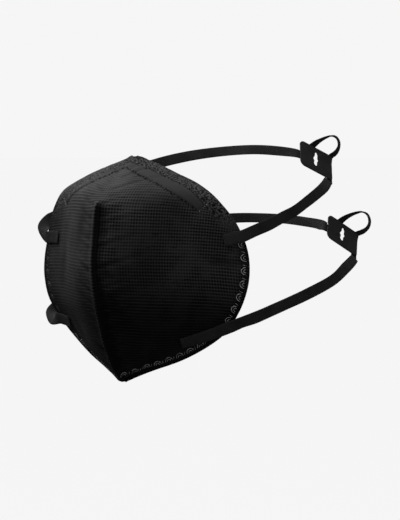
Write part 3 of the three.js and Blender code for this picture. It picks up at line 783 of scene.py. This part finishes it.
def joined(left, right, name):
    """One row across both panels: left edge, fold, right edge. The fold is kept once."""
    return np.concatenate([left[name], right[name][:, -2::-1]], axis=1)


def relaxed(points, weight):
    """The grid after many averagings across its rows, rounder where the weight is high."""
    for _ in range(NOSE_PASSES):
        middle = (points[:, :-2] + points[:, 2:]) / 2
        points[:, 1:-1] += (middle - points[:, 1:-1]) * weight[:, 1:-1, None]
    return points


section_at = np.linspace(0, LAST, ROWS)
left_panel, right_panel = shell_side(section_at, LEFT), shell_side(section_at, RIGHT)
grids = {name: joined(left_panel, right_panel, name) for name in left_panel}
above_nose = between(NOSE_START, NOSE_END, section_at)[:, None]
grids["outside"] = relaxed(grids["outside"], above_nose * np.exp(-(grids["u"] / NOSE_ROUND)**2))
WIDE = 2 * COLUMNS - 1
print("shell grid", ROWS, "by", WIDE)

# %% Make the mesh and its maps
def sheet_faces(rows, columns):
    """Quads of an outside grid, an inside grid and the rim between them, all facing out."""
    index = np.arange(rows * columns).reshape(rows, columns)
    inner = index + rows * columns
    quads = []
    for grid, turned in ((index, -1), (inner, 1)):
        others = grid[1:, :-1], grid[1:, 1:], grid[:-1, 1:]
        quads.append(np.stack([grid[:-1, :-1], *others[::turned]], -1).reshape(-1, 4))
    for near, far, turned in ((index[:, 0], inner[:, 0], 1), (index[:, -1], inner[:, -1], -1),
                              (index[0], inner[0], -1), (index[-1], inner[-1], 1)):
        strip = np.stack([near[:-1], near[1:], far[1:], far[:-1]], -1)
        quads.append(strip[:, ::turned])
    return np.concatenate(quads)


def mesh_from(name, points, faces, edges=()):
    mesh = bpy.data.meshes.new(name)
    faces = [tuple(int(i) for i in face) for face in faces]
    mesh.from_pydata([tuple(p) for p in points], edges, faces)
    mesh.update()
    return add_object(name, mesh)


def add_uv(mesh, name, values):
    """A UV map from one pair of numbers for each vertex."""
    layer = mesh.uv_layers.new(name=name)
    corners = np.zeros(len(mesh.loops), int)
    mesh.loops.foreach_get("vertex_index", corners)
    layer.data.foreach_set("uv", values[corners].ravel())


def add_mask(mesh, name, values):
    layer = mesh.attributes.new(name, "FLOAT", "POINT")
    layer.data.foreach_set("value", values.astype(np.float32))


def smooth_shaded(mesh):
    mesh.polygons.foreach_set("use_smooth", [True] * len(mesh.polygons))


outside, inside = (grids[name].reshape(-1, 3) * MM for name in ("outside", "inside"))
mask_cloth = mesh_from("mask_cloth", np.concatenate([outside, inside]), sheet_faces(ROWS, WIDE))
cloth_uv = np.stack([grids["u"].ravel(), grids["v"].ravel()], 1)
add_uv(mask_cloth.data, "cloth", np.concatenate([cloth_uv, cloth_uv]))
blank = np.zeros(len(inside))
for mask in ("band", "strip", "groove", "seam", "hem", "hollow"):
    add_mask(mask_cloth.data, mask, np.concatenate([grids[mask].ravel(), blank]))
add_mask(mask_cloth.data, "lining", np.concatenate([blank, blank + 1]))
smooth_shaded(mask_cloth.data)
mask_cloth.data.materials.append(CLOTH)
print("mask_cloth:", len(mask_cloth.data.polygons), "faces")

# %% [markdown]
# ## The elastics
#
# Each elastic starts under a weld on the left panel, runs back, threads its adjuster, runs to the
# right side of the head and ends under a weld there. A curve with a bevel could make it, but that
# twists by a rule of its own, and a flat band shows every twist. So the route is a table of points
# with the direction of the band's width at each, and a smooth curve runs between them. The tables
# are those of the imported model, in millimetres.

# %% Routes of the elastics
# x, y, z of the middle, then the direction across the band
UPPER_LEFT_RUN = [
    (88, 20.5, 29.5, 0, -0.15, 1),
    (93.5, 29, 33, 0, 0, 1),
    (96, 42, 36.8, 0, 0, 1),
    (95.5, 60, 39.9, 0, 0, 1),
    (91.3, 88, 45.3, -0.1, -0.1, 1),
    (76.3, 132, 48.4, -0.3, -0.2, 0.9),
    (52.3, 187, 49.1, -0.5, -0.3, 0.8),
    (28.3, 237, 49.3, -0.45, -0.4, 0.65),
]
UPPER_RIGHT_RUN = [
    (-13, 232.5, 71.6, -0.3, 0.5, 0.82),
    (-30, 224, 72.6, -0.3, 0.5, 0.82),
    (-50, 207, 71.3, -0.3, 0.5, 0.82),
    (-68, 182, 67.9, -0.3, 0.4, 0.86),
    (-82, 150, 61.5, -0.2, 0.2, 0.9),
    (-91, 115, 51, -0.1, 0.1, 1),
    (-94, 80, 41.5, 0, 0, 1),
    (-93, 55, 35, 0, 0, 1),
    (-91.5, 38, 30.6, -0.2, 0, 0.95),
    (-90.5, 28, 28.5, -0.6, -0.3, 0.75),
    (-90.7, 21.5, 24.3, -0.86, -0.5, 0.1),
    (-87.3, 18, 20.5, -0.6, -0.3, -0.8),
]
LOWER_LEFT_RUN = [
    (79.4, 14.4, -34.9, 0.06, -0.36, 0.95),
    (85.8, 23.6, -31.8, 0, 0, 1),
    (89.5, 42, -28, 0, 0, 1),
    (91.6, 62, -24.6, 0, 0, 1),
    (92, 85, -21.4, -0.1, 0, 1),
    (83.7, 140, -16.6, -0.3, -0.1, 0.9),
    (66.9, 193, -12.7, -0.5, -0.3, 0.8),
    (43.3, 252, -11.7, -0.45, -0.4, 0.65),
]
LOWER_RIGHT_RUN = [
    (-7, 288, 10.6, -0.3, 0.5, 0.82),
    (-19, 286, 12.3, -0.3, 0.5, 0.82),
    (-34, 281, 14.1, -0.3, 0.5, 0.82),
    (-49, 268, 15.4, -0.3, 0.5, 0.82),
    (-62, 248, 16.1, -0.3, 0.45, 0.84),
    (-74, 215, 15, -0.3, 0.4, 0.86),
    (-82, 180, 12, -0.2, 0.2, 0.9),
    (-87, 140, 4, -0.1, 0.1, 1),
    (-89, 100, -11.5, 0, 0, 1),
    (-88.5, 65, -26, 0, 0, 1),
    (-87.5, 42, -33, -0.2, 0, 0.95),
    (-86, 28, -36.2, -0.6, -0.3, 0.75),
    (-83, 20, -38.4, -0.86, -0.5, 0.1),
    (-77.6, 14.5, -42, -0.5, -0.3, -0.8),
]

# along the plate, up the plate, out of it, then across, in the plate's own directions
THREADING = [
    (14.2, -13.5, -0.8, -0.63, 0, 0),
    (14.4, -6, -0.8, -0.6, 0, 0),
    (14.8, 4, -0.8, -0.55, 0, 0),
    (15.9, 11, -0.8, -0.5, 0, 0),
    (16.6, 13.6, -0.8, -0.5, 0.1, 0),
    (17.1, 14.2, 3, -0.78, -0.36, 0.38),
    (16.6, 15.4, 7.8, -0.71, -0.61, 0.35),
    (14.9, 17.2, 11.6, -0.54, -0.78, 0.31),
    (11.9, 18.7, 13.6, -0.37, -0.87, 0.33),
    (8.4, 19.2, 14.2, -0.36, -0.78, 0.5),
    (5.2, 19, 13.2, -0.52, -0.63, 0.57),
    (2.4, 17.9, 10.4, -0.6, -0.55, 0.55),
    (0.2, 16.6, 7, -0.68, -0.45, 0.5),
    (-1.6, 15.2, 3.2, -0.7, -0.2, 0.3),
    (-2.6, 13.6, -0.5, -0.65, 0.1, 0.1),
    (-4, 10.5, -0.8, -0.8, 0.2, 0),
    (-7, 5, -0.8, -0.6, 0.5, 0),
    (-9.5, 0.5, -0.8, -0.4, 0.7, 0),
    (-13, -1.6, -0.8, -0.1, 0.9, 0),
    (-17.5, -2, -0.8, 0, 1, 0),
]

# for each weld: the tip's section, its distance from the edge, and the section at the edge
WELDS = {
    "upper": {"left": (6.65, 15.5, 6.2), "right": (6.95, 19, 6.8)},
    "lower": {"left": (11.75, 23.5, 10.7), "right": (11.0, 18, 10.9)},
}
ADJUSTERS = {
    "upper": {"centre": (8.0, 253.8, 63.9), "along": (0.45, 0.779, -0.436), "slack": 1},
    "lower": {"centre": (7.1, 300.4, 1.4), "along": (0.448, 0.72, -0.53), "slack": 1.14},
}
ADJUSTER_UP = (-0.364, 0.606, 0.707)
RUNS = {"upper": (UPPER_LEFT_RUN, UPPER_RIGHT_RUN), "lower": (LOWER_LEFT_RUN, LOWER_RIGHT_RUN)}
PLATE_HEIGHT = 25
LOOP_CLEAR = 6
BAND_WIDTH = 8.6
BAND_THICK = 0.9
BAND_CLEARANCE = 0.45
BAND_STEP = 1.3
WELD_STATIONS = (0, 0.34, 0.67, 1)


def panel_place(s, from_edge, side):
    """One point of the bare panel and its outward normal."""
    def place(section, share):
        return bare_panel(np.array([section]), np.array([[share]]))[0][0, 0]

    length = bare_panel(np.array([s]), np.array([[0.5]]))[1][0]
    share = from_edge / length
    down = place(min(LAST, s + SECTION_STEP), share) - place(max(0, s - SECTION_STEP), share)
    to_edge = place(s, max(0, share - 1 / length)) - place(s, share + 1 / length)
    normal = unit(np.cross(down, to_edge))
    flip = np.array([side, 1, 1])
    return place(s, share) * flip, normal * flip


def weld_rows(weld, side):
    """The welded end of an elastic, tip first, lying on the outside of the shell."""
    tip_s, tip_from_edge, edge_s = weld
    lie = WALL - EDGE_WALL + BAND_CLEARANCE + BAND_THICK / 2
    stations = []
    for t in WELD_STATIONS:
        point, normal = panel_place(tip_s + (edge_s - tip_s) * t, tip_from_edge * (1 - t), side)
        stations.append((point + normal * lie, normal))
    rows = []
    for i, (middle, normal) in enumerate(stations):
        ahead, behind = stations[min(len(stations) - 1, i + 1)][0], stations[max(0, i - 1)][0]
        across = unit(np.cross(normal, ahead - behind))
        rows.append((*middle, *(across if across[2] * side > 0 else -across)))
    return rows


def plate_axes(level):
    p = unit(np.array(ADJUSTERS[level]["along"]))
    up = np.array(ADJUSTER_UP)
    q = unit(up - p * up.dot(p))
    return np.stack([p, q, np.cross(p, q)])


def threading_rows(level):
    axes, top = plate_axes(level), PLATE_HEIGHT / 2
    centre, slack = np.array(ADJUSTERS[level]["centre"]), ADJUSTERS[level]["slack"]
    rows = []
    for p, q, out, *across in THREADING:
        size = 1 + (slack - 1) * min(1, max(0, out / LOOP_CLEAR))
        middle = centre + np.array([p * size, top + (q - top) * size, out * size]) @ axes
        rows.append((*middle, *(np.array(across) @ axes)))
    return rows


def route_rows(level):
    left_run, right_run = RUNS[level]
    return [*weld_rows(WELDS[level]["left"], LEFT), *left_run, *threading_rows(level), *right_run,
            *weld_rows(WELDS[level]["right"], RIGHT)[::-1]]


print({level: len(route_rows(level)) for level in RUNS}, "route points")

# %% Smooth stations along a route
def route_stations(rows):
    """Centripetal Catmull-Rom through rows whose spacing varies: middles, directions and widths."""
    rows = np.array(rows, float)
    steps = np.linalg.norm(np.diff(rows[:, :3], axis=0), axis=1)
    knots = np.concatenate([[0], np.cumsum(np.sqrt(steps))])
    gaps = np.diff(knots)[:, None]
    secant = np.diff(rows, axis=0) / gaps
    wide = (rows[2:] - rows[:-2]) / (gaps[:-1] + gaps[1:])
    slopes = np.concatenate([secant[:1], secant[:-1] - wide + secant[1:], secant[-1:]])
    samples = []
    for i, span in enumerate(gaps[:, 0]):
        count = max(1, round(steps[i] / BAND_STEP))
        t = (np.arange(count + (i == len(gaps) - 1)) / count)[:, None]
        samples.append(hermite(rows[i], rows[i + 1], slopes[i] * span, slopes[i + 1] * span, t))
    samples = np.concatenate(samples)
    middle, across = samples[:, :3], samples[:, 3:]
    along = unit(np.gradient(middle, axis=0))
    share = np.minimum(1, np.linalg.norm(across, axis=1))[:, None]
    across = across - along * np.sum(across * along, axis=1)[:, None]
    across *= share / np.linalg.norm(across, axis=1)[:, None]
    return middle, along, across


SELVAGE = 0.4
SELVAGE_TURNS = [35, 90, 145]
FLAT_POINTS = 5


def band_outline():
    """The section of the band, with rounded selvages, counter-clockwise."""
    flat, thick = BAND_WIDTH / 2 - SELVAGE, BAND_THICK / 2
    half_way = [(x, thick) for x in np.linspace(flat, -flat, FLAT_POINTS)]
    half_way += [(-flat - SELVAGE * math.sin(a), thick * math.cos(a))
                 for a in np.radians(SELVAGE_TURNS)]
    return np.array(half_way + [(-x, -y) for x, y in half_way])


def band_piece(name, rows, material):
    middle, along, across = route_stations(rows)
    face = unit(np.cross(along, across))
    outline = band_outline()
    ring = len(outline)
    points = middle[:, None] + across[:, None] * outline[None, :, :1]
    points = points + face[:, None] * outline[None, :, 1:]
    faces = []
    for i in range(len(middle) - 1):
        for k in range(ring):
            n = (k + 1) % ring
            faces.append((i * ring + k, i * ring + n, (i + 1) * ring + n, (i + 1) * ring + k))
    end = (len(middle) - 1) * ring
    faces.append(tuple(range(ring))[::-1])
    faces.append(tuple(range(end, end + ring)))
    piece = mesh_from(name, points.reshape(-1, 3) * MM, faces)
    lengths = lengths_along(middle)
    uv = np.stack(np.broadcast_arrays(outline[None, :, 0], lengths[:, None]), -1).reshape(-1, 2)
    add_uv(piece.data, "band", uv)
    smooth_shaded(piece.data)
    piece.data.materials.append(material)
    print(name, "is", round(lengths[-1]), "mm long with", len(middle), "stations")
    return piece


upper_band = band_piece("upper_elastic", route_rows("upper"), ELASTIC)
lower_band = band_piece("lower_elastic", route_rows("lower"), ELASTIC)

# %% [markdown]
# ## The adjusters
#
# An adjuster is a thin moulded plate with a toothed slit that the elastic is threaded through, and
# two short sleeves behind it hold the elastic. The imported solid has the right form, so a copy of it
# is merged and its sharp edges are rounded a little, because moulded plastic is never perfectly
# sharp.

# %% Round the edges of the adjusters
EDGE_ROUND, EDGE_STEPS = 0.00016, 2
SHARP_EDGE = math.radians(40)
MERGE_DISTANCE = 1e-6


def built_mesh(name, builder, finish):
    mesh = bpy.data.meshes.new(name)
    builder.to_mesh(mesh)
    builder.free()
    mesh.materials.append(finish)
    return mesh


def rounded_copy(node, name):
    builder = bmesh.new()
    builder.from_mesh(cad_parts[node].data)
    bmesh.ops.remove_doubles(builder, verts=builder.verts, dist=MERGE_DISTANCE)
    sharp = [edge for edge in builder.edges
             if len(edge.link_faces) == 2 and edge.calc_face_angle() > SHARP_EDGE]
    bmesh.ops.bevel(builder, geom=sharp, offset=EDGE_ROUND, segments=EDGE_STEPS,
                    affect="EDGES", clamp_overlap=True)
    print(name, "has", len(sharp), "rounded edges")
    return add_object(name, built_mesh(name, builder, PLASTIC))


upper_plate = rounded_copy("upper_adjuster", "upper_plate")
lower_plate = rounded_copy("lower_adjuster", "lower_plate")

# %% [markdown]
# ## Weld marks
#
# The layers of the cloth are joined along the edges by a wheel that leaves the same small scroll
# again and again: a wide arch, a narrow arch inside it, and a short slanted line. Five spots close
# each end of the nose band. The shader could paint them, but the real ones stand up a little. So
# one scroll and one spot are modelled, and Geometry Nodes repeats them along paths that lie on the
# cloth. The result is then settled on the cloth, vertex by vertex. The scrolls down the right side
# edge have the darker copy of the finish, painted as if in shade.

# %% One scroll and one spot
LINE_WIDTH = 0.5
LINE_RISE = 0.14
LINE_TIP, LINE_TOP = 0.35, 0.55
ARCH_POINTS, ARCH_DROP = 9, 1


def ridge(builder, line):
    """A low flat-topped ridge along a line of x, y points in mm."""
    line = np.array(line, float)
    along = unit(np.gradient(line, axis=0))
    beside = np.stack([-along[:, 1], along[:, 0]], 1)
    rings = []
    for i, point in enumerate(line):
        taper = LINE_TIP if i in (0, len(line) - 1) else 1
        ring = []
        for reach, rise in ((1, 0), (LINE_TOP, 1), (-LINE_TOP, 1), (-1, 0)):
            x, y = point + beside[i] * reach * taper * LINE_WIDTH / 2
            ring.append(builder.verts.new((x * MM, y * MM, rise * LINE_RISE * MM)))
        rings.append(ring)
    for first, second in zip(rings, rings[1:]):
        for k in range(4):
            n = (k + 1) % 4
            builder.faces.new((first[k], second[k], second[n], first[n]))
    builder.faces.new(rings[0])
    builder.faces.new(rings[-1][::-1])


def arch(reach, height, lean=0.0):
    """A half ellipse with its feet a little off the path. It may lean to one side."""
    return [(reach * math.cos(a), height * math.sin(a) + lean * math.cos(a) - ARCH_DROP)
            for a in np.linspace(math.pi, 0, ARCH_POINTS)]


def mark_object(name, lines):
    builder = bmesh.new()
    for line in lines:
        ridge(builder, line)
    bmesh.ops.recalc_face_normals(builder, faces=builder.faces)
    stand = builder.verts.layers.float.new("stand")
    for vert in builder.verts:
        vert[stand] = vert.co.z
    return bpy.data.objects.new(name, built_mesh(name, builder, WELD_AND_GLINT))


SLANTED_LINE = [(3.6, -1.0), (4.0, 0.3), (4.4, 1.6)]
SPOT_LINES = [[(-0.4, y), (0, y), (0.4, y)] for y in (-0.2, 0.2)]
SCROLL = mark_object("scroll", [arch(2.6, 3.4, 0.2), arch(1.2, 1.6), SLANTED_LINE])
SPOT = mark_object("spot", SPOT_LINES)
print("scroll:", len(SCROLL.data.polygons), "faces, spot:", len(SPOT.data.polygons), "faces")

# %% The node tree that repeats a mark
def repeat_tree():
    tree = bpy.data.node_groups.new("repeat_along_path", "GeometryNodeTree")
    sockets = {}
    tree.interface.new_socket("Geometry", in_out="OUTPUT", socket_type="NodeSocketGeometry")
    for name, kind in (("Geometry", "Geometry"), ("Pitch", "Float"),
                       ("Mark", "Object"), ("Finish", "Material")):
        made = tree.interface.new_socket(name, in_out="INPUT", socket_type="NodeSocket" + kind)
        sockets[name] = made.identifier

    def node(kind, **settings):
        made = tree.nodes.new(kind)
        for name, value in settings.items():
            setattr(made, name, value)
        return made

    start, end = node("NodeGroupInput"), node("NodeGroupOutput")
    curve = node("GeometryNodeMeshToCurve")
    resample = node("GeometryNodeResampleCurve", mode="LENGTH")
    tangent = node("GeometryNodeInputTangent")
    facing = node("GeometryNodeInputNamedAttribute", data_type="FLOAT_VECTOR")
    facing.inputs["Name"].default_value = "facing"
    run = node("FunctionNodeAlignRotationToVector", axis="X")
    stand = node("FunctionNodeAlignRotationToVector", axis="Z", pivot_axis="X")
    mark = node("GeometryNodeObjectInfo")
    place = node("GeometryNodeInstanceOnPoints")
    realize = node("GeometryNodeRealizeInstances")
    finish = node("GeometryNodeSetMaterial")
    for source, output, target, field in (
        (start, "Geometry", curve, "Mesh"), (curve, "Curve", resample, "Curve"),
        (start, "Pitch", resample, "Length"), (tangent, 0, run, "Vector"),
        (run, 0, stand, "Rotation"), (facing, "Attribute", stand, "Vector"),
        (start, "Mark", mark, "Object"), (resample, "Curve", place, "Points"),
        (mark, "Geometry", place, "Instance"), (stand, 0, place, "Rotation"),
        (place, "Instances", realize, "Geometry"), (realize, 0, finish, "Geometry"),
        (start, "Finish", finish, "Material"), (finish, 0, end, 0),
    ):
        tree.links.new(source.outputs[output], target.inputs[field])
    return tree, sockets


REPEAT, REPEAT_INPUTS = repeat_tree()
print("node tree with inputs", sorted(REPEAT_INPUTS))

# %% Lay the marks along the edges
SCROLL_PITCH = 8.2
SPOT_PITCH = 1.55
SINK = 0.00003
EDGE_PATH_POINTS, SPOT_PATH_POINTS = 24, 8
# the spots' first section and distance from the edge, and how far they run towards the edge
SPOT_SECTION, SPOT_FROM_EDGE, SPOT_RUN = 5.1, 23, 9.5
# section and distance from the edge; the sections run aslant to the edge near the chin
EDGE_PATHS = [
    [(6.7, 2.8), (7.4, 3.1), (8.5, 3.3), (9.5, 3.6), (10.45, 4.2)],
    [(11.9, 7.2), (12.4, 8.9), (13.0, 11.8), (13.5, 12.8), (14.3, 13.8)],
]


def edge_path(places, side):
    """Points along the panel's edge, each with the cloth's normal."""
    rows = table_at(places, np.linspace(0, len(places) - 1, EDGE_PATH_POINTS))
    rows = rows[::-1] if side == LEFT else rows
    return [panel_place(s, from_edge, side) for s, from_edge in rows]


def spot_path(side):
    """Points along the slanted end of the nose band."""
    return [panel_place(SPOT_SECTION - BAND_SLANT * t, SPOT_FROM_EDGE - SPOT_RUN * t, side)
            for t in np.linspace(0, 1, SPOT_PATH_POINTS)]


def path_object(paths):
    points, facings, edges = [], [], []
    for path in paths:
        edges += [(len(points) + k, len(points) + k + 1) for k in range(len(path) - 1)]
        for point, normal in path:
            points.append(point * MM)
            facings.append(normal)
    made = mesh_from("path", points, [], edges)
    facing = made.data.attributes.new("facing", "FLOAT_VECTOR", "POINT")
    facing.data.foreach_set("vector", np.array(facings).ravel())
    return made


def repeated(name, mark, paths, pitch, finish=WELD_AND_GLINT):
    """The mark along the paths, as one plain mesh that lies on the cloth."""
    path = path_object(paths)
    modifier = path.modifiers.new("repeat", "NODES")
    modifier.node_group = REPEAT
    modifier[REPEAT_INPUTS["Pitch"]] = pitch * MM
    modifier[REPEAT_INPUTS["Mark"]] = mark
    modifier[REPEAT_INPUTS["Finish"]] = finish
    graph = bpy.context.evaluated_depsgraph_get()
    mesh = bpy.data.meshes.new_from_object(path.evaluated_get(graph))
    path.modifiers.remove(modifier)
    bpy.data.objects.remove(path)
    cloth = BVHTree.FromPolygons([v.co for v in mask_cloth.data.vertices],
                                 [tuple(p.vertices) for p in mask_cloth.data.polygons])
    for vert, stand in zip(mesh.vertices, mesh.attributes["stand"].data):
        place, normal, _, _ = cloth.find_nearest(vert.co)
        vert.co = place + normal * (stand.value - SINK)
    print(name, "has", len(mesh.polygons), "faces")
    return add_object(name, mesh)


left_paths = [edge_path(places, LEFT) for places in EDGE_PATHS]
chin_path = edge_path(EDGE_PATHS[1], RIGHT)
edge_welds = repeated("edge_welds", SCROLL, left_paths + [chin_path], SCROLL_PITCH)
side_path = edge_path(EDGE_PATHS[0], RIGHT)
# the right side edge's scrolls take the darker finish, painted as if in shade
right_edge_welds = repeated("right_edge_welds", SCROLL, [side_path], SCROLL_PITCH, SHADED_WELD)
band_spots = repeated("nose_band_spots", SPOT, [spot_path(LEFT), spot_path(RIGHT)], SPOT_PITCH)

# %% [markdown]
# ## Tie the pieces to the imported model
#
# Every piece rides on the one body, because nothing on this mask turns or slides as a solid. The
# detailed pieces stand for the imported ones, which are hidden.

# %% Ride and replace
PIECES = [
    (mask_cloth, "mask_shell", "cloth"),
    (upper_band, "upper_head_strap", "elastic"),
    (lower_band, "lower_head_strap", "elastic"),
    (upper_plate, "upper_adjuster", "adjuster_plastic"),
    (lower_plate, "lower_adjuster", "adjuster_plastic"),
    (edge_welds, None, "cloth"),
    (right_edge_welds, None, "cloth"),
    (band_spots, None, "cloth"),
]
for piece, node, slot in PIECES:
    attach(piece, BODY)
    if node:
        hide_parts(node)
    print(piece.name, "stands for", node)
